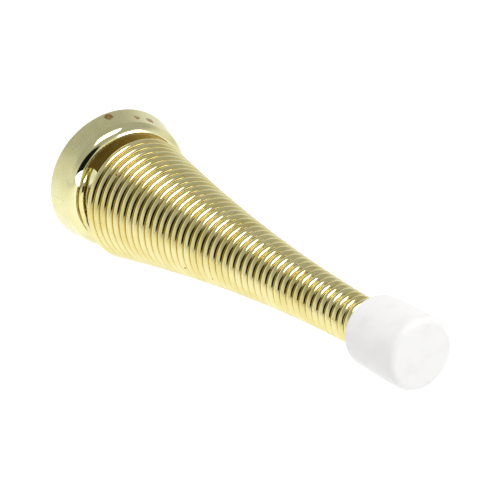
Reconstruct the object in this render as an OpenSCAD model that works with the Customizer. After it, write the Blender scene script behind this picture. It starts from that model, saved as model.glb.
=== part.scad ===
// Spring door stop: a stamped base cup, a close-wound tapered wire spring hooked through it, and a soft tip.
// Frame: origin at the centre of the base on the wall plane. -Y points out of the wall, +Z is up.
// Each sub-part is first drawn upright, with its height measured from the wall, and then laid onto -Y.

/* [Base cup] */
// Diameter of the skirt where it meets the wall
base_d = 22.5; // [22:0.1:24]
// Diameter of the skirt just under the crest
skirt_top_d = 21.2; // [21:0.1:21.6]
// Height at which the skirt turns over into the crest
skirt_h = 3.3; // [3:0.1:3.6]
// Radius of the rounded crest
crest_round = 1.7; // [1.6:0.05:1.8]
// Height of the recessed front plate
plate_h = 4.2; // [4.1:0.05:4.3]
// Thickness of the sheet metal
sheet = 0.6; // [0.4:0.05:0.7]
// Diameter of the screw dimple at the front plate
dimple_top_d = 9.6; // [9.2:0.1:9.8]
// Diameter of the floor of the screw dimple
dimple_floor_d = 8.4; // [8:0.1:8.6]
// Diameter of the screw hole
screw_hole_d = 4.6; // [4:0.1:5]
// Diameter of the hole that the spring wire comes up through
wire_hole_d = 3.9; // [3.8:0.05:4]
// Distance of the wire hole from the centre
wire_hole_r = 8; // [7.95:0.05:8.05]
// Angle of the wire hole round the base
wire_hole_angle = 154.5; // [150:0.5:160]

/* [Spring] */
// Diameter of the wire
wire_d = 1.41; // [1.38:0.01:1.41]
// Rise of one turn
pitch = 1.422; // [1.422:0.002:1.46]
// Radius of the widest turn, at the middle of the wire
seat_r = 9.15; // [8.8:0.05:9.3]
// Radius of the narrowest turn, at the middle of the wire
tip_r = 2.85; // [2.8:0.05:3]
// Turns over which the spring narrows
taper_turns = 42; // [40:1:43]
// How fast the spring narrows near the base
taper_power = 1.8; // [1.6:0.1:2]
// Height of the wire where the close-wound turns start
seat_h = 7.77; // [7.7:0.01:8]
// Upward lean of the spring on its base
lean_up = 5.3; // [4.5:0.1:6]
// Sideways lean of the spring on its base
lean_side = 4.1; // [3:0.1:4.5]

/* [Tip] */
// Diameter of the tip
tip_d = 10.7; // [10.4:0.1:11]
// Length of the tip
tip_l = 11.5; // [11:0.1:12.5]
// Depth of the socket that the spring goes into
socket_depth = 5.9; // [5.9:0.1:6.5]
// Clearance between the wire and the socket wall
socket_gap = 0.05; // [0.05:0.01:0.1]

/* [Hidden] */
$fn = 48;
WIRE_R = wire_d / 2;
WIRE_SIDES = 10;

// The wire is divided into groups of turns, with more sections a turn where the turns are wide.
COIL_GROUPS = 18;
TURNS_PER_GROUP = 2.25;
LAST_GROUP_TURNS = 6.75;
WIDE_GROUPS = 9;
WIDE_STEPS = 24;
NARROW_STEPS = 16;
CUT_GAP = 0.06;
SHORT = 0.0005;

// Turns count from START_ANGLE round the spring's axis, and the tip starts after TIP_START_TURNS.
START_ANGLE = 270;
TIP_START_TURNS = 41.5;
LEAN_PIVOT_H = 11.2;

// The wire starts under the plate, climbs through the hole, lies on the plate and rises to the first turn.
REST_GAP = 0.04;
UNDER_R = 7.1;
UNDER_H = plate_h - sheet - WIRE_R - 0.4;
LAID_R = 8.35;
LAID_H = plate_h + WIRE_R + REST_GAP;
ANCHOR_START = -1.1;
CLIMB_START = (wire_hole_angle - 16.5 - START_ANGLE) / 360;
CLIMB_END = (wire_hole_angle + 13.5 - START_ANGLE) / 360;
RISE_START = -0.22;
RISE_END = -0.07;
ANCHOR_STEPS = 72;

BRASS = "palegoldenrod";
function group_name(i) = str("spring_coils_", i < 10 ? "0" : "", i);

// Points of an arc about c, from angle a to angle b.
function arc(c, r, a, b, steps) =
    [for (i = [0:steps]) c + r * [cos(a + (b - a) * i / steps), sin(a + (b - a) * i / steps)]];

// A smooth step from 0 to 1.
function ease(x) = let (t = min(max(x, 0), 1)) t * t * (3 - 2 * t);

// Middle-of-wire radius and height after n turns of the close-wound part.
function coil_r(n) = tip_r + (seat_r - tip_r) * pow(1 - min(n / taper_turns, 1), taper_power);
function coil_h(n) = seat_h + pitch * n;

function coil_point(n) =
    [coil_r(n) * cos(START_ANGLE + 360 * n), coil_r(n) * sin(START_ANGLE + 360 * n), coil_h(n)];

// A point moved by the lean of the spring about its pivot on the base's axis.
function leaned(p) =
    let (
        z = p.z - LEAN_PIVOT_H,
        y1 = p.y * cos(lean_up) + z * sin(lean_up),
        z1 = z * cos(lean_up) - p.y * sin(lean_up)
    )
    [p.x * cos(lean_side) + z1 * sin(lean_side), y1, z1 * cos(lean_side) - p.x * sin(lean_side) + LEAN_PIVOT_H];

// Path of the anchor wire, n turns from the start of the close-wound part (n is negative).
function anchor_point(n) =
    let (
        angle = START_ANGLE + 360 * n,
        climb = ease((n - CLIMB_START) / (CLIMB_END - CLIMB_START)),
        r = UNDER_R + (LAID_R - UNDER_R) * climb,
        low = [r * cos(angle), r * sin(angle), UNDER_H + (LAID_H - UNDER_H) * climb],
        high = leaned([seat_r * cos(angle), seat_r * sin(angle), coil_h(n)]),
        w = ease((n - RISE_START) / (RISE_END - RISE_START))
    )
    low * (1 - w) + high * w;

function unit(v) = v / norm(v);

// The wire's round section at p, square to the direction that the wire runs in.
function section(p, direction) =
    let (
        along = unit(direction),
        across = unit(cross(along, [0, 0, 1])),
        up = cross(across, along)
    )
    [for (k = [0:WIRE_SIDES - 1])
        p + WIRE_R * (cos(360 * k / WIRE_SIDES) * across + sin(360 * k / WIRE_SIDES) * up)];

// Lays an upright sub-part onto the wall's frame.
module on_wall() {
    rotate([90, 0, 0])
        children();
}

// Lays a part of the spring onto the wall's frame, with the spring's lean.
module on_spring() {
    on_wall()
        translate([0, 0, LEAN_PIVOT_H])
            rotate([-lean_up, lean_side, 0])
                translate([0, 0, -LEAN_PIVOT_H])
                    children();
}

// Stamped cup: tapered skirt, folded crest, recessed plate and a dimple that the screw head sits in.
module base_cup() {
    skirt_r = skirt_top_d / 2;
    crest_c = [skirt_r - crest_round, skirt_h];
    lip_round = 0.2;
    crest_end = 60;
    lip_c = crest_c + (crest_round - lip_round) * [cos(crest_end), sin(crest_end)];
    outer = concat(
        [[base_d / 2, 0]],
        arc(crest_c, crest_round, 0, crest_end, 10),
        arc(lip_c, lip_round, crest_end, 180, 6),
        [[lip_c.x - lip_round, plate_h], [dimple_top_d / 2, plate_h], [dimple_floor_d / 2, sheet], [0, sheet]]
    );
    inner = [
        [0, 0], [dimple_floor_d / 2 + sheet, 0], [dimple_top_d / 2 + sheet, plate_h - sheet],
        [skirt_r - sheet, plate_h - sheet], [skirt_r - sheet, skirt_h], [base_d / 2 - sheet, 0]
    ];
    color(BRASS)
        on_wall()
            difference() {
                rotate_extrude($fn = 96)
                    polygon(concat(outer, inner));
                translate([0, 0, -1])
                    cylinder(d = screw_hole_d, h = sheet + 2);
                rotate([0, 0, wire_hole_angle])
                    translate([wire_hole_r, 0, plate_h - sheet - 0.3])
                        cylinder(d = wire_hole_d, h = 3);
            }
}

// Solid wire through a list of sections.
module wire(sections) {
    last = (len(sections) - 1) * WIRE_SIDES;
    polyhedron(
        points = [for (ring = sections, p = ring) p],
        faces = concat(
            [[for (k = [0:WIRE_SIDES - 1]) k]],
            [[for (k = [WIRE_SIDES - 1:-1:0]) last + k]],
            [for (i = [0:len(sections) - 2], k = [0:WIRE_SIDES - 1])
                let (a = i * WIRE_SIDES, next = (k + 1) % WIRE_SIDES)
                    [a + k, a + WIRE_SIDES + k, a + WIRE_SIDES + next, a + next]]
        )
    );
}

// End of the wire: it lies behind the plate, comes up through the wire hole and meets the first turn.
module spring_anchor() {
    color(BRASS)
        on_wall()
            wire([for (i = [0:ANCHOR_STEPS])
                let (n = ANCHOR_START * (1 - i / ANCHOR_STEPS))
                    section(anchor_point(n), anchor_point(n + SHORT) - anchor_point(n - SHORT))]);
}

// One group of turns. The spring hinges between the groups, so their ends stand a hair apart.
module spring_coils(i) {
    first = (i - 1) * TURNS_PER_GROUP;
    end = first + (i == COIL_GROUPS ? LAST_GROUP_TURNS : TURNS_PER_GROUP);
    steps = (end - first) * (i <= WIDE_GROUPS ? WIDE_STEPS : NARROW_STEPS);
    cut = CUT_GAP / 2 / (2 * PI * coil_r(first));
    from = i == 1 ? first : first + cut;
    color(BRASS)
        on_spring()
            wire([for (k = [0:steps])
                let (n = from + (end - cut - from) * k / steps)
                    section(coil_point(n), coil_point(n + SHORT) - coil_point(n - SHORT))]);
}

// Soft tip pushed over the last turns.
module tip_cap() {
    r = tip_d / 2;
    rear_round = 1.8;
    front_round = 1.2;
    start = coil_h(TIP_START_TURNS);
    color("ivory")
        on_spring()
            translate([0, 0, start])
                difference() {
                    rotate_extrude($fn = 96)
                        polygon(concat(
                            [[0, 0]],
                            arc([r - rear_round, rear_round], rear_round, -90, 0, 8),
                            arc([r - front_round, tip_l - front_round], front_round, 0, 90, 8),
                            [[0, tip_l]]
                        ));
                    translate([0, 0, -1])
                        cylinder(r = tip_r + WIRE_R + socket_gap, h = socket_depth + 1);
                }
}

base_cup();
spring_anchor();
for (i = [1:COIL_GROUPS])
    spring_coils(i);
tip_cap();
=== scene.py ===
"""Spring door stop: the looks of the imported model, in its frame (metres, -Y out of the wall, +Z up)."""
import math

import bmesh
import bpy
import numpy as np
from mathutils import Matrix, Vector


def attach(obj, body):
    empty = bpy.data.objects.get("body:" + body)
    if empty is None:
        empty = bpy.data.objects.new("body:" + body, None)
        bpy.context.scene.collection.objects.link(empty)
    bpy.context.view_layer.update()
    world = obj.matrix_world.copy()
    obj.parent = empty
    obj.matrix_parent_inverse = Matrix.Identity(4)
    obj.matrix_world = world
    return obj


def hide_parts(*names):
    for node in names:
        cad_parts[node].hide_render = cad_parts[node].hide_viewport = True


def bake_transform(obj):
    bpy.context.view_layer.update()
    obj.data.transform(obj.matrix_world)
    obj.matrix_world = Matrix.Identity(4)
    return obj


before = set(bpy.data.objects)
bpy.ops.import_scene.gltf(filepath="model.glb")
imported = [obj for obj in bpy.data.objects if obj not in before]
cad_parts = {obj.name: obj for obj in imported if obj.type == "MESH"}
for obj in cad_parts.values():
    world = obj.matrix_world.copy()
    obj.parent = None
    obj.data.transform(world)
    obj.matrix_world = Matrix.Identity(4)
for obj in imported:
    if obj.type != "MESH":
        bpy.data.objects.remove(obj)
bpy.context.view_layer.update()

# ---------------------------------------------------------------- sizes
MM = 0.001

# Base cup, upright: radius and height from the wall, and the degrees that its crest turns through
BASE_R = 11.25 * MM
SKIRT_TOP_R = 10.6 * MM
SKIRT_H = 3.3 * MM
CREST_ROUND = 1.7 * MM
CREST_END = 72
LIP_ROUND = 0.3 * MM
CREST_INNER_END = 60
PLATE_H = 4.2 * MM
SHEET = 0.6 * MM
DIMPLE_TOP_R = 4.8 * MM
DIMPLE_FLOOR_R = 4.2 * MM
SCREW_HOLE_R = 2.3 * MM

# Slot that the wire comes up through: radius of its ends, length, distance from the axis, and degrees
SLOT_R = 1.7 * MM
SLOT_L = 4.2 * MM
SLOT_AT = 8.0 * MM
SLOT_ANGLE = 154.5
SLOT_BELOW_PLATE = 0.3 * MM
SLOT_CUT_H = 3 * MM

# Spring: the wire's middle goes from SEAT_R in to TIP_R. Turns count from the first close-wound one
WIRE_R = 0.705 * MM
PITCH = 1.422 * MM
SEAT_R = 9.15 * MM
TIP_R = 2.85 * MM
TAPER_TURNS = 42
TAPER_POWER = 1.8
SEAT_H = 7.77 * MM
START_ANGLE = 270
LEAN_UP = math.radians(5.3)
LEAN_SIDE = math.radians(4.1)
LEAN_PIVOT = Vector((0, 0, 11.2 * MM))
GROUPS = 18
TURNS_PER_GROUP = 2.25
LAST_GROUP_TURNS = 6.75

# Anchor end of the wire: under the plate, up through the slot, on the plate, then up to the first turn.
# It climbs over these degrees before and after the slot's middle, and rises between these turns
UNDER_R = 7.1 * MM
UNDER_GAP = 0.4 * MM
UNDER_H = PLATE_H - SHEET - WIRE_R - UNDER_GAP
LAID_R = 8.35 * MM
LAID_GAP = 0.04 * MM
LAID_H = PLATE_H + WIRE_R + LAID_GAP
ANCHOR_START = -1.1
CLIMB_BEFORE = 16.5
CLIMB_AFTER = 13.5
CLIMB_START = (SLOT_ANGLE - CLIMB_BEFORE - START_ANGLE) / 360
CLIMB_END = (SLOT_ANGLE + CLIMB_AFTER - START_ANGLE) / 360
RISE_START = -0.22
RISE_END = -0.07

# Tip
TIP_START_TURNS = 41.5
TIP_L = 11.5 * MM
TIP_REAR_R = 5.15 * MM
TIP_BELLY_R = 5.37 * MM
TIP_FRONT_R = 5.28 * MM
TIP_BELLY_AT = 8 * MM
TIP_REAR_ROUND = 1.8 * MM
TIP_FRONT_ROUND = 0.9 * MM
SOCKET_R = 3.605 * MM
SOCKET_DEPTH = 5.9 * MM

# Mesh detail, and the angles in degrees above which an edge stays sharp
WIRE_SIDES = 20
RINGS_PER_TURN = 96
LATHE_STEPS = 256
SHARP = 40
WIRE_SHARP = 60

# Camera: where it looks, from which side, how far away, and its lens
LOOK_AT = Vector((3.67, -35.0, 2.3)) * MM
VIEW_AZIMUTH = math.radians(-31.25)
VIEW_ELEVATION = math.radians(29.26)
VIEW_DISTANCE = 0.3829
LENS = 187.2
SENSOR = 36

# Light round the object: white walls and table, a dimmer ceiling, and a dark room behind the camera
WALL_WHITE = (1.0, 1.0, 1.0)
CEILING_GREY = (0.53, 0.53, 0.54)
CEILING_FROM = 0.15
CEILING_FULL = 0.6
ROOM_DARK = (0.01, 0.01, 0.01)
ROOM_ELEVATION = math.radians(15)
ROOM_EDGE = 0.88
ROOM_FULL = 0.92
FLOOR_Z = -0.09
FLOOR_SIZE = 8
FLOOR_GREY = (0.92, 0.92, 0.92, 1)
FLOOR_GLOW = 0.32

# Each softbox: name, place, width, depth, power
SOFTBOXES = (
    ("overhead", Vector((-0.04, -0.18, 0.70)), 0.50, 0.38, 3.9),
    ("front", Vector((0.45, -0.80, 0.25)), 0.40, 0.40, 1.75),
)

TO_WALL = Matrix.Rotation(math.radians(90), 4, "X")
LEAN = (Matrix.Translation(LEAN_PIVOT) @ Matrix.Rotation(LEAN_SIDE, 4, "Y")
        @ Matrix.Rotation(-LEAN_UP, 4, "X") @ Matrix.Translation(-LEAN_PIVOT))


# ---------------------------------------------------------------- node helpers
def new_material(name):
    """An empty node material with a Principled shader. Returns (material, nodes, links, shader)."""
    material = bpy.data.materials.new(name)
    material.use_nodes = True
    nodes = material.node_tree.nodes
    return material, nodes, material.node_tree.links, nodes["Principled BSDF"]


def noise(nodes, links, vector, scale, detail=2.0, rough=0.5):
    """Noise over vector, as a 0 to 1 output."""
    node = nodes.new("ShaderNodeTexNoise")
    node.inputs["Scale"].default_value = scale
    node.inputs["Detail"].default_value = detail
    node.inputs["Roughness"].default_value = rough
    links.new(vector, node.inputs["Vector"])
    return node.outputs["Fac"]


def remap(nodes, links, value, low, high, to_low=0.0, to_high=1.0):
    """Value from low..high to to_low..to_high, with smooth ends."""
    node = nodes.new("ShaderNodeMapRange")
    node.interpolation_type = "SMOOTHSTEP"
    node.inputs["From Min"].default_value = low
    node.inputs["From Max"].default_value = high
    node.inputs["To Min"].default_value = to_low
    node.inputs["To Max"].default_value = to_high
    links.new(value, node.inputs["Value"])
    return node.outputs["Result"]


def blend_colour(nodes, links, factor, first, second):
    """Mix of two colours, each a colour or another node's output."""
    node = nodes.new("ShaderNodeMix")
    node.data_type = "RGBA"
    links.new(factor, node.inputs["Factor"])
    for value, socket in ((first, node.inputs["A"]), (second, node.inputs["B"])):
        if isinstance(value, tuple):
            socket.default_value = (*value, 1.0)
        else:
            links.new(value, socket)
    return node.outputs["Result"]


def blend_value(nodes, links, factor, first, second):
    """Mix of two values. The first is another node's output, the second a number or an output."""
    node = nodes.new("ShaderNodeMix")
    links.new(factor, node.inputs["Factor"])
    links.new(first, node.inputs["A"])
    if isinstance(second, float):
        node.inputs["B"].default_value = second
    else:
        links.new(second, node.inputs["B"])
    return node.outputs["Result"]


def math_node(nodes, links, operation, first, second):
    """A Math node on two values, each a number or another node's output."""
    node = nodes.new("ShaderNodeMath")
    node.operation = operation
    for value, socket in ((first, node.inputs[0]), (second, node.inputs[1])):
        if isinstance(value, (int, float)):
            socket.default_value = value
        else:
            links.new(value, socket)
    return node.outputs["Value"]


def bump(nodes, links, shader, height, strength, distance):
    """Bump on the shader from a height output, distance in metres."""
    node = nodes.new("ShaderNodeBump")
    node.inputs["Strength"].default_value = strength
    node.inputs["Distance"].default_value = distance
    links.new(height, node.inputs["Height"])
    links.new(node.outputs["Normal"], shader.inputs["Normal"])


# ---------------------------------------------------------------- materials
BRASS_PALE = (0.71, 0.65, 0.325)
BRASS_DEEP = (0.64, 0.56, 0.22)
BRASS_TARNISH = (0.34, 0.17, 0.05)
# Painted shade for the grooves between turns
GROOVE_PAINTED_SHADE = (0.50, 0.38, 0.10)
SKIRT_PALE = (0.71, 0.685, 0.38)
SKIRT_DEEP = (0.65, 0.61, 0.31)
# Painted reflection of the gold coils in the recessed plate
PLATE_PAINTED_REFLECTION = (0.95, 0.74, 0.27)
RUBBER_PALE = (0.735, 0.73, 0.715)
RUBBER_SHADE = (0.69, 0.685, 0.67)

# Painted shade in the grooves between turns: it starts at this turn, and darkens as the wire faces its
# neighbour
GROOVE_SHADE_FROM = -0.1
GROOVE_SHADE_FACING = (0.72, 0.98)

# Tarnish marks on the top of the skirt: x and y of the middle, and width
MARK_RADIUS = 10.9 * MM
MARK_AMOUNT = 0.72
TARNISH_MARKS = (
    (-1.2 * MM, -0.9 * MM, 1.3 * MM),
    (3.1 * MM, -2.3 * MM, 1.0 * MM),
    (5.2 * MM, -2.6 * MM, 1.3 * MM),
)

# Within this radius the recessed plate is duller, fading to the crest's polish, and painted a deeper gold
# as a painted reflection of the coils above it
PLATE_EDGE = (8.9 * MM, 9.3 * MM)
PLATE_ROUGHNESS = 0.34

# Brush marks: noise cells per turn round the skirt, and per centimetre of its height
BRUSH_STRETCH = (400, 1.2, 1)


def wire_material():
    """Bright brass-plated wire: near-mirror, with faint drawing marks, pinhead tarnish specks, and
    painted shade in the grooves between turns.
    """
    material, nodes, links, shader = new_material("wire_brass")
    place = nodes.new("ShaderNodeTexCoord").outputs["Object"]
    tone = remap(nodes, links, noise(nodes, links, place, 260), 0.35, 0.75)
    colour = blend_colour(nodes, links, tone, BRASS_PALE, BRASS_DEEP)
    speck = remap(nodes, links, noise(nodes, links, place, 1500, 1.0), 0.76, 0.80)
    colour = blend_colour(nodes, links, speck, colour, BRASS_TARNISH)
    # Painted shade: the wire is painted darker and browner in the grooves between turns, where the turns
    # shade each other
    facing = nodes.new("ShaderNodeSeparateXYZ")
    links.new(nodes.new("ShaderNodeUVMap").outputs["UV"], facing.inputs["Vector"])
    groove_shade = remap(nodes, links, facing.outputs["Y"], *GROOVE_SHADE_FACING)
    colour = blend_colour(nodes, links, groove_shade, colour, GROOVE_PAINTED_SHADE)
    links.new(colour, shader.inputs["Base Color"])
    shader.inputs["Metallic"].default_value = 1.0
    links.new(remap(nodes, links, noise(nodes, links, place, 700), 0.3, 0.8, 0.07, 0.2),
              shader.inputs["Roughness"])
    bump(nodes, links, shader, noise(nodes, links, place, 900, 3.0), 0.25, 0.02 * MM)
    return material


def cup_material():
    """Stamped cup: skirt brushed along its height, polished crest, and a duller plate painted a deeper
    gold, a painted reflection of the coils.
    """
    material, nodes, links, shader = new_material("cup_brass")
    place = nodes.new("ShaderNodeTexCoord").outputs["Object"]
    around = nodes.new("ShaderNodeUVMap").outputs["UV"]
    parts = nodes.new("ShaderNodeSeparateXYZ")
    links.new(place, parts.inputs["Vector"])
    depth = parts.outputs["Y"]
    on_plate = plate_mask(nodes, links, parts)
    on_crest = remap(nodes, links, depth, -SKIRT_H - 0.5 * MM, -SKIRT_H + 0.3 * MM, 1.0, 0.0)

    tone = remap(nodes, links, noise(nodes, links, place, 180), 0.35, 0.75)
    colour = blend_colour(nodes, links, tone, SKIRT_PALE, SKIRT_DEEP)
    # Painted reflection: the plate is painted a deeper gold to stand for the coils mirrored in it
    colour = blend_colour(nodes, links, on_plate, colour, PLATE_PAINTED_REFLECTION)
    ragged = noise(nodes, links, place, 1400, 3.0, 0.65)
    for mark in TARNISH_MARKS:
        stain = tarnish_mask(nodes, links, place, ragged, *mark)
        colour = blend_colour(nodes, links, stain, colour, BRASS_TARNISH)
    links.new(colour, shader.inputs["Base Color"])
    shader.inputs["Metallic"].default_value = 1.0

    satin = remap(nodes, links, noise(nodes, links, around, 40), 0.3, 0.8, 0.24, 0.36)
    shine = remap(nodes, links, noise(nodes, links, place, 600), 0.3, 0.8, 0.06, 0.14)
    roughness = blend_value(nodes, links, on_crest, satin, shine)
    roughness = blend_value(nodes, links, on_plate, roughness, PLATE_ROUGHNESS)
    links.new(roughness, shader.inputs["Roughness"])

    # Brush marks run along the skirt's height, and stop at the crest
    stretch = nodes.new("ShaderNodeVectorMath")
    stretch.operation = "MULTIPLY"
    stretch.inputs[1].default_value = BRUSH_STRETCH
    links.new(around, stretch.inputs[0])
    brush = noise(nodes, links, stretch.outputs["Vector"], 1.0, 3.0)
    off_crest = math_node(nodes, links, "SUBTRACT", 1.0, on_crest)
    brushed = math_node(nodes, links, "MULTIPLY", brush, off_crest)
    bump(nodes, links, shader, brushed, 0.6, 0.05 * MM)
    return material


def plate_mask(nodes, links, parts):
    """1 on the recessed plate, 0 on the crest and skirt. Parts is the place in x, y and z."""
    flat = nodes.new("ShaderNodeCombineXYZ")
    links.new(parts.outputs["X"], flat.inputs["X"])
    links.new(parts.outputs["Z"], flat.inputs["Z"])
    off_axis = nodes.new("ShaderNodeVectorMath")
    off_axis.operation = "LENGTH"
    links.new(flat.outputs["Vector"], off_axis.inputs[0])
    inside = remap(nodes, links, off_axis.outputs["Value"], *PLATE_EDGE, 1.0, 0.0)
    low, high = -PLATE_H + 0.05 * MM, -PLATE_H + 0.2 * MM
    in_front = remap(nodes, links, parts.outputs["Y"], low, high, 1.0, 0.0)
    return math_node(nodes, links, "MULTIPLY", inside, in_front)


def tarnish_mask(nodes, links, place, ragged, x, y, width):
    """A brown mark on the upper side of the skirt, with an edge broken up by the ragged noise."""
    spot = nodes.new("ShaderNodeVectorMath")
    spot.operation = "DISTANCE"
    links.new(place, spot.inputs[0])
    spot.inputs[1].default_value = (x, y, math.sqrt(MARK_RADIUS ** 2 - x ** 2))
    near = remap(nodes, links, spot.outputs["Value"], 0.3 * width, width, MARK_AMOUNT, 0.0)
    return remap(nodes, links, math_node(nodes, links, "MULTIPLY", near, ragged), 0.22, 0.34)


def tip_material():
    """Moulded off-white rubber: matte, with faint cloudy mottling and a fine grain."""
    material, nodes, links, shader = new_material("tip_rubber")
    place = nodes.new("ShaderNodeTexCoord").outputs["Object"]
    cloud = remap(nodes, links, noise(nodes, links, place, 320, 4.0), 0.45, 0.75)
    colour = blend_colour(nodes, links, cloud, RUBBER_PALE, RUBBER_SHADE)
    links.new(colour, shader.inputs["Base Color"])
    shader.inputs["Roughness"].default_value = 0.62
    bump(nodes, links, shader, noise(nodes, links, place, 1800, 4.0), 0.2, 0.05 * MM)
    return material


# ---------------------------------------------------------------- shapes
def arc(centre, radius, start, end, steps):
    """Points of a flat arc, angles in degrees."""
    angles = np.radians(np.linspace(start, end, steps + 1))
    return [(centre[0] + radius * math.cos(a), centre[1] + radius * math.sin(a)) for a in angles]


def finish_mesh(piece, sharp_angle):
    """Closes up a mesh: welded, normals outward, and smooth but for edges over sharp_angle degrees."""
    mesh = piece.data
    shape = bmesh.new()
    shape.from_mesh(mesh)
    bmesh.ops.remove_doubles(shape, verts=shape.verts, dist=1e-7)
    bmesh.ops.recalc_face_normals(shape, faces=shape.faces)
    shape.to_mesh(mesh)
    shape.free()
    mesh.shade_smooth()
    mesh.set_sharp_from_angle(angle=math.radians(sharp_angle))


def new_piece(name, points, faces, material):
    """A mesh object in the scene, made of the points and faces."""
    mesh = bpy.data.meshes.new(name)
    mesh.from_pydata([tuple(p) for p in points], [], faces)
    mesh.materials.append(material)
    piece = bpy.data.objects.new(name, mesh)
    bpy.context.scene.collection.objects.link(piece)
    return piece


def lathe(name, outline, matrix, material):
    """A closed outline of (radius, height) points turned round the upright axis, then placed by matrix.
    An edge that lies on the axis makes no faces."""
    points, faces = [], []
    for radius, height in outline:
        for k in range(LATHE_STEPS):
            a = 2 * math.pi * k / LATHE_STEPS
            points.append(matrix @ Vector((radius * math.cos(a), radius * math.sin(a), height)))
    rows = len(outline)
    for row in range(rows):
        following = (row + 1) % rows
        if outline[row][0] == 0 and outline[following][0] == 0:
            continue
        below, above = row * LATHE_STEPS, following * LATHE_STEPS
        for k in range(LATHE_STEPS):
            nxt = (k + 1) % LATHE_STEPS
            faces.append((below + k, below + nxt, above + nxt, above + k))
    return new_piece(name, points, faces, material)


# ---------------------------------------------------------------- base cup
def base_cup(material):
    """The cup as one sheet: skirt, folded crest, recessed plate and screw dimple, with its slot."""
    crest = (SKIRT_TOP_R - CREST_ROUND, SKIRT_H)
    end = math.radians(CREST_END)
    lip = (crest[0] + (CREST_ROUND - LIP_ROUND) * math.cos(end),
           crest[1] + (CREST_ROUND - LIP_ROUND) * math.sin(end))
    edge = lip[0] - LIP_ROUND
    outline = (
        [(BASE_R - SHEET, 0), (BASE_R, 0)]
        + arc(crest, CREST_ROUND, 0, CREST_END, 24)
        + arc(lip, LIP_ROUND, CREST_END, 180, 10)
        + [(edge, PLATE_H), (DIMPLE_TOP_R, PLATE_H), (DIMPLE_FLOOR_R, SHEET), (SCREW_HOLE_R, SHEET)]
        + [(SCREW_HOLE_R, 0), (DIMPLE_FLOOR_R + SHEET, 0), (DIMPLE_TOP_R + SHEET, PLATE_H - SHEET)]
        + [(edge + SHEET, PLATE_H - SHEET)]
        + arc(crest, CREST_ROUND - SHEET, CREST_INNER_END, 0, 12)
    )
    cup = lathe("cup", outline, TO_WALL, material)
    finish_mesh(cup, SHARP)
    cutter = slot_cutter(material)
    slot = cup.modifiers.new("wire_slot", "BOOLEAN")
    slot.object = cutter
    slot.solver = "EXACT"
    apply_modifiers(cup)
    bpy.data.objects.remove(cutter)
    cup.data.shade_smooth()
    cup.data.set_sharp_from_angle(angle=math.radians(SHARP))
    cylinder_uv(cup)
    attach(cup, "base")
    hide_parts("base_cup")


def slot_cutter(material):
    """A block with round ends, for the slot through the plate and into the crest."""
    ring = arc((SLOT_L / 2 - SLOT_R, 0), SLOT_R, -90, 90, 32)
    ring += [(-x, -y) for x, y in ring]
    place = (TO_WALL @ Matrix.Rotation(math.radians(SLOT_ANGLE), 4, "Z")
             @ Matrix.Translation((SLOT_AT, 0, PLATE_H - SHEET - SLOT_BELOW_PLATE)))
    count = len(ring)
    points = [place @ Vector((x, y, h)) for h in (0, SLOT_CUT_H) for x, y in ring]
    faces = [tuple(range(count)), tuple(range(2 * count - 1, count - 1, -1))]
    faces += [(k, (k + 1) % count, count + (k + 1) % count, count + k) for k in range(count)]
    cutter = new_piece("slot_cutter", points, faces, material)
    finish_mesh(cutter, SHARP)
    return cutter


def apply_modifiers(piece):
    """Replaces the piece's mesh by what its modifiers make of it."""
    graph = bpy.context.evaluated_depsgraph_get()
    mesh = bpy.data.meshes.new_from_object(piece.evaluated_get(graph))
    piece.modifiers.clear()
    piece.data = mesh


def cylinder_uv(piece):
    """UV: the angle round the wall axis in turns, and the distance from the wall in centimetres."""
    layer = piece.data.uv_layers.new(name="UVMap")
    for loop in piece.data.loops:
        p = piece.data.vertices[loop.vertex_index].co
        layer.data[loop.index].uv = (math.atan2(p.z, p.x) / (2 * math.pi), -p.y * 100)


# ---------------------------------------------------------------- spring
def coil_r(n):
    """Radius of the wire's middle at turn n, which is constant after TAPER_TURNS."""
    return TIP_R + (SEAT_R - TIP_R) * (1 - min(n / TAPER_TURNS, 1)) ** TAPER_POWER


def coil_point(n):
    """Middle of the wire at turn n, 0 or more, in the upright frame."""
    a = math.radians(START_ANGLE + 360 * n)
    return LEAN @ Vector((coil_r(n) * math.cos(a), coil_r(n) * math.sin(a), SEAT_H + PITCH * n))


def ease(x):
    """0 to 1 with smooth ends, for x from 0 to 1."""
    t = min(max(x, 0), 1)
    return t * t * (3 - 2 * t)


def anchor_point(n):
    """The anchor end of the wire, where n runs up to 0 at the start of the close-wound turns."""
    a = math.radians(START_ANGLE + 360 * n)
    climb = ease((n - CLIMB_START) / (CLIMB_END - CLIMB_START))
    r = UNDER_R + (LAID_R - UNDER_R) * climb
    low = Vector((r * math.cos(a), r * math.sin(a), UNDER_H + (LAID_H - UNDER_H) * climb))
    high = LEAN @ Vector((SEAT_R * math.cos(a), SEAT_R * math.sin(a), SEAT_H + PITCH * n))
    return low.lerp(high, ease((n - RISE_START) / (RISE_END - RISE_START)))


def wire_point(n):
    """Middle of the wire at any turn, in the upright frame."""
    return coil_point(n) if n >= 0 else anchor_point(n)


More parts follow.
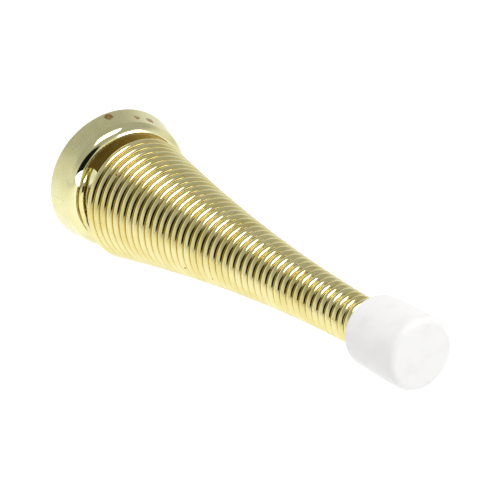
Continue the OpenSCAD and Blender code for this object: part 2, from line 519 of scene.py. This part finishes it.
def wire(name, first, last, material):
    """Solid wire from turn first to turn last. Returns the piece and each vertex's share of its length.
    UV is the turn, and how squarely the surface faces the next turn (0 to 1), which sets the painted
    shade in the grooves."""
    rings = round((last - first) * RINGS_PER_TURN)
    points, faces, share, marks = [], [], [], []
    axis = TO_WALL.to_3x3() @ LEAN.to_3x3() @ Vector((0, 0, 1))
    for i in range(rings + 1):
        n = first + (last - first) * i / rings
        p = TO_WALL @ wire_point(n)
        along = (TO_WALL @ wire_point(n + 1e-4) - TO_WALL @ wire_point(n - 1e-4)).normalized()
        across = along.cross(TO_WALL @ Vector((0, 0, 1))).normalized()
        up = across.cross(along)
        for k in range(WIRE_SIDES):
            a = 2 * math.pi * k / WIRE_SIDES
            side = math.cos(a) * across + math.sin(a) * up
            points.append(p + WIRE_R * side)
            # The second UV value sets the painted shade in the grooves between turns
            marks.append((n, abs(side.dot(axis)) if n > GROOVE_SHADE_FROM else 0))
            share.append(i / rings)
    for i in range(rings):
        for k in range(WIRE_SIDES):
            nxt = (k + 1) % WIRE_SIDES
            a, b = i * WIRE_SIDES, (i + 1) * WIRE_SIDES
            faces.append((a + k, b + k, b + nxt, a + nxt))
    end = rings * WIRE_SIDES
    caps = [tuple(range(WIRE_SIDES)), tuple(range(end + WIRE_SIDES - 1, end - 1, -1))]
    piece = new_piece(name, points, faces + caps, material)
    corners = np.zeros(len(piece.data.loops), dtype=np.int32)
    piece.data.loops.foreach_get("vertex_index", corners)
    layer = piece.data.uv_layers.new(name="UVMap")
    layer.data.foreach_set("uv", np.array(marks, dtype=np.float32)[corners].ravel())
    piece.data.shade_smooth()
    piece.data.set_sharp_from_angle(angle=math.radians(WIRE_SHARP))
    return piece, np.array(share)


def bend_along_wire(piece, share):
    mesh = piece.data
    shape = np.zeros(len(mesh.vertices) * 3)
    mesh.vertices.foreach_get("co", shape)
    laid_out = np.zeros((len(mesh.vertices), 3))
    laid_out[:, 0] = 0.5 - np.sin(np.arcsin(1 - 2 * share) / 3)
    mesh.vertices.foreach_set("co", laid_out.ravel())
    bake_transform(piece)
    mesh.vertices.foreach_set("co", shape)
    mesh.update()


def spring(material):
    """The wire in one piece per group of turns."""
    first_piece, _ = wire("spring_start", ANCHOR_START, TURNS_PER_GROUP, material)
    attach(first_piece, "base")
    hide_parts("spring_anchor", "spring_coils_01")
    for i in range(2, GROUPS + 1):
        start = (i - 1) * TURNS_PER_GROUP
        turns = LAST_GROUP_TURNS if i == GROUPS else TURNS_PER_GROUP
        bent_turns = TIP_START_TURNS - start if i == GROUPS else TURNS_PER_GROUP
        piece, share = wire(f"spring_turns_{i:02d}", start, start + turns, material)
        share = np.minimum(share * turns / bent_turns, 1)
        bend_along_wire(piece, share)
        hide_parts(f"spring_coils_{i:02d}")


# ---------------------------------------------------------------- tip
def tip_radius(h):
    """Radius of the tip's side at height h over its rear."""
    if h < TIP_BELLY_AT:
        swell = math.sin(math.pi / 2 * h / TIP_BELLY_AT)
        return TIP_REAR_R + (TIP_BELLY_R - TIP_REAR_R) * swell
    narrowing = ((h - TIP_BELLY_AT) / (TIP_L - TIP_BELLY_AT)) ** 2
    return TIP_BELLY_R + (TIP_FRONT_R - TIP_BELLY_R) * narrowing


def tip(material):
    """Soft tip, slightly fuller towards its front, with a socket for the last turns."""
    rear = TIP_REAR_ROUND
    front = TIP_FRONT_ROUND
    side = [(tip_radius(h), h) for h in np.linspace(rear, TIP_L - front, 16)]
    outline = (
        [(0, SOCKET_DEPTH), (SOCKET_R, SOCKET_DEPTH), (SOCKET_R, 0)]
        + arc((side[0][0] - rear, rear), rear, -90, 0, 12)[:-1]
        + side
        + arc((side[-1][0] - front, TIP_L - front), front, 0, 90, 12)[1:]
        + [(0, TIP_L)]
    )
    base = Matrix.Translation((0, 0, SEAT_H + PITCH * TIP_START_TURNS))
    piece = lathe("tip", outline, TO_WALL @ LEAN @ base, material)
    finish_mesh(piece, SHARP)
    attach(piece, "tip")
    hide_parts("tip_cap")


# ---------------------------------------------------------------- studio
def towards(azimuth, elevation):
    """Direction from the object, at an azimuth from -Y round to +X and an elevation, in radians."""
    return Vector((math.sin(azimuth) * math.cos(elevation),
                   -math.cos(azimuth) * math.cos(elevation), math.sin(elevation)))


def add_camera():
    camera = bpy.data.objects.new("camera", bpy.data.cameras.new("camera"))
    bpy.context.scene.collection.objects.link(camera)
    back = towards(VIEW_AZIMUTH, VIEW_ELEVATION)
    camera.location = LOOK_AT + back * VIEW_DISTANCE
    camera.rotation_mode = "QUATERNION"
    camera.rotation_quaternion = (-back).to_track_quat("-Z", "Y")
    camera.data.lens = LENS
    camera.data.sensor_width = SENSOR
    camera.data.clip_start = 0.01
    camera.data.clip_end = 20
    bpy.context.scene.camera = camera


def add_floor():
    """White table well below the object, which glows a little so that it stays white."""
    bpy.ops.mesh.primitive_plane_add(size=FLOOR_SIZE, location=(0, 0, FLOOR_Z))
    floor = bpy.context.object
    floor.name = "floor"
    material, _, _, shader = new_material("floor_white")
    shader.inputs["Base Color"].default_value = FLOOR_GREY
    shader.inputs["Roughness"].default_value = 0.9
    shader.inputs["Emission Color"].default_value = (1, 1, 1, 1)
    shader.inputs["Emission Strength"].default_value = FLOOR_GLOW
    floor.data.materials.append(material)


def add_world():
    """White all round, with a dimmer ceiling and a dark patch where the room behind the camera is."""
    world = bpy.data.worlds.new("studio")
    bpy.context.scene.world = world
    world.use_nodes = True
    nodes, links = world.node_tree.nodes, world.node_tree.links
    direction = nodes.new("ShaderNodeTexCoord").outputs["Generated"]
    parts = nodes.new("ShaderNodeSeparateXYZ")
    links.new(direction, parts.inputs["Vector"])
    height = remap(nodes, links, parts.outputs["Z"], CEILING_FROM, CEILING_FULL)
    sky = blend_colour(nodes, links, height, WALL_WHITE, CEILING_GREY)
    facing_room = nodes.new("ShaderNodeVectorMath")
    facing_room.operation = "DOT_PRODUCT"
    links.new(direction, facing_room.inputs[0])
    facing_room.inputs[1].default_value = towards(VIEW_AZIMUTH, ROOM_ELEVATION)
    room = remap(nodes, links, facing_room.outputs["Value"], ROOM_EDGE, ROOM_FULL)
    sky = blend_colour(nodes, links, room, sky, ROOM_DARK)
    links.new(sky, nodes["Background"].inputs["Color"])
    nodes["Background"].inputs["Strength"].default_value = 1.0


def add_softbox(name, place, width, depth, power):
    """A rectangular light at place, turned towards the object. Sizes in metres, power in watts."""
    light = bpy.data.lights.new(name, "AREA")
    light.shape = "RECTANGLE"
    light.size = width
    light.size_y = depth
    light.energy = power
    lamp = bpy.data.objects.new(name, light)
    lamp.location = place
    lamp.rotation_mode = "QUATERNION"
    lamp.rotation_quaternion = (LOOK_AT - place).to_track_quat("-Z", "Y")
    bpy.context.scene.collection.objects.link(lamp)


add_camera()
add_floor()
add_world()
for softbox in SOFTBOXES:
    add_softbox(*softbox)
bpy.context.scene.view_settings.view_transform = "Standard"

base_cup(cup_material())
spring(wire_material())
tip(tip_material())
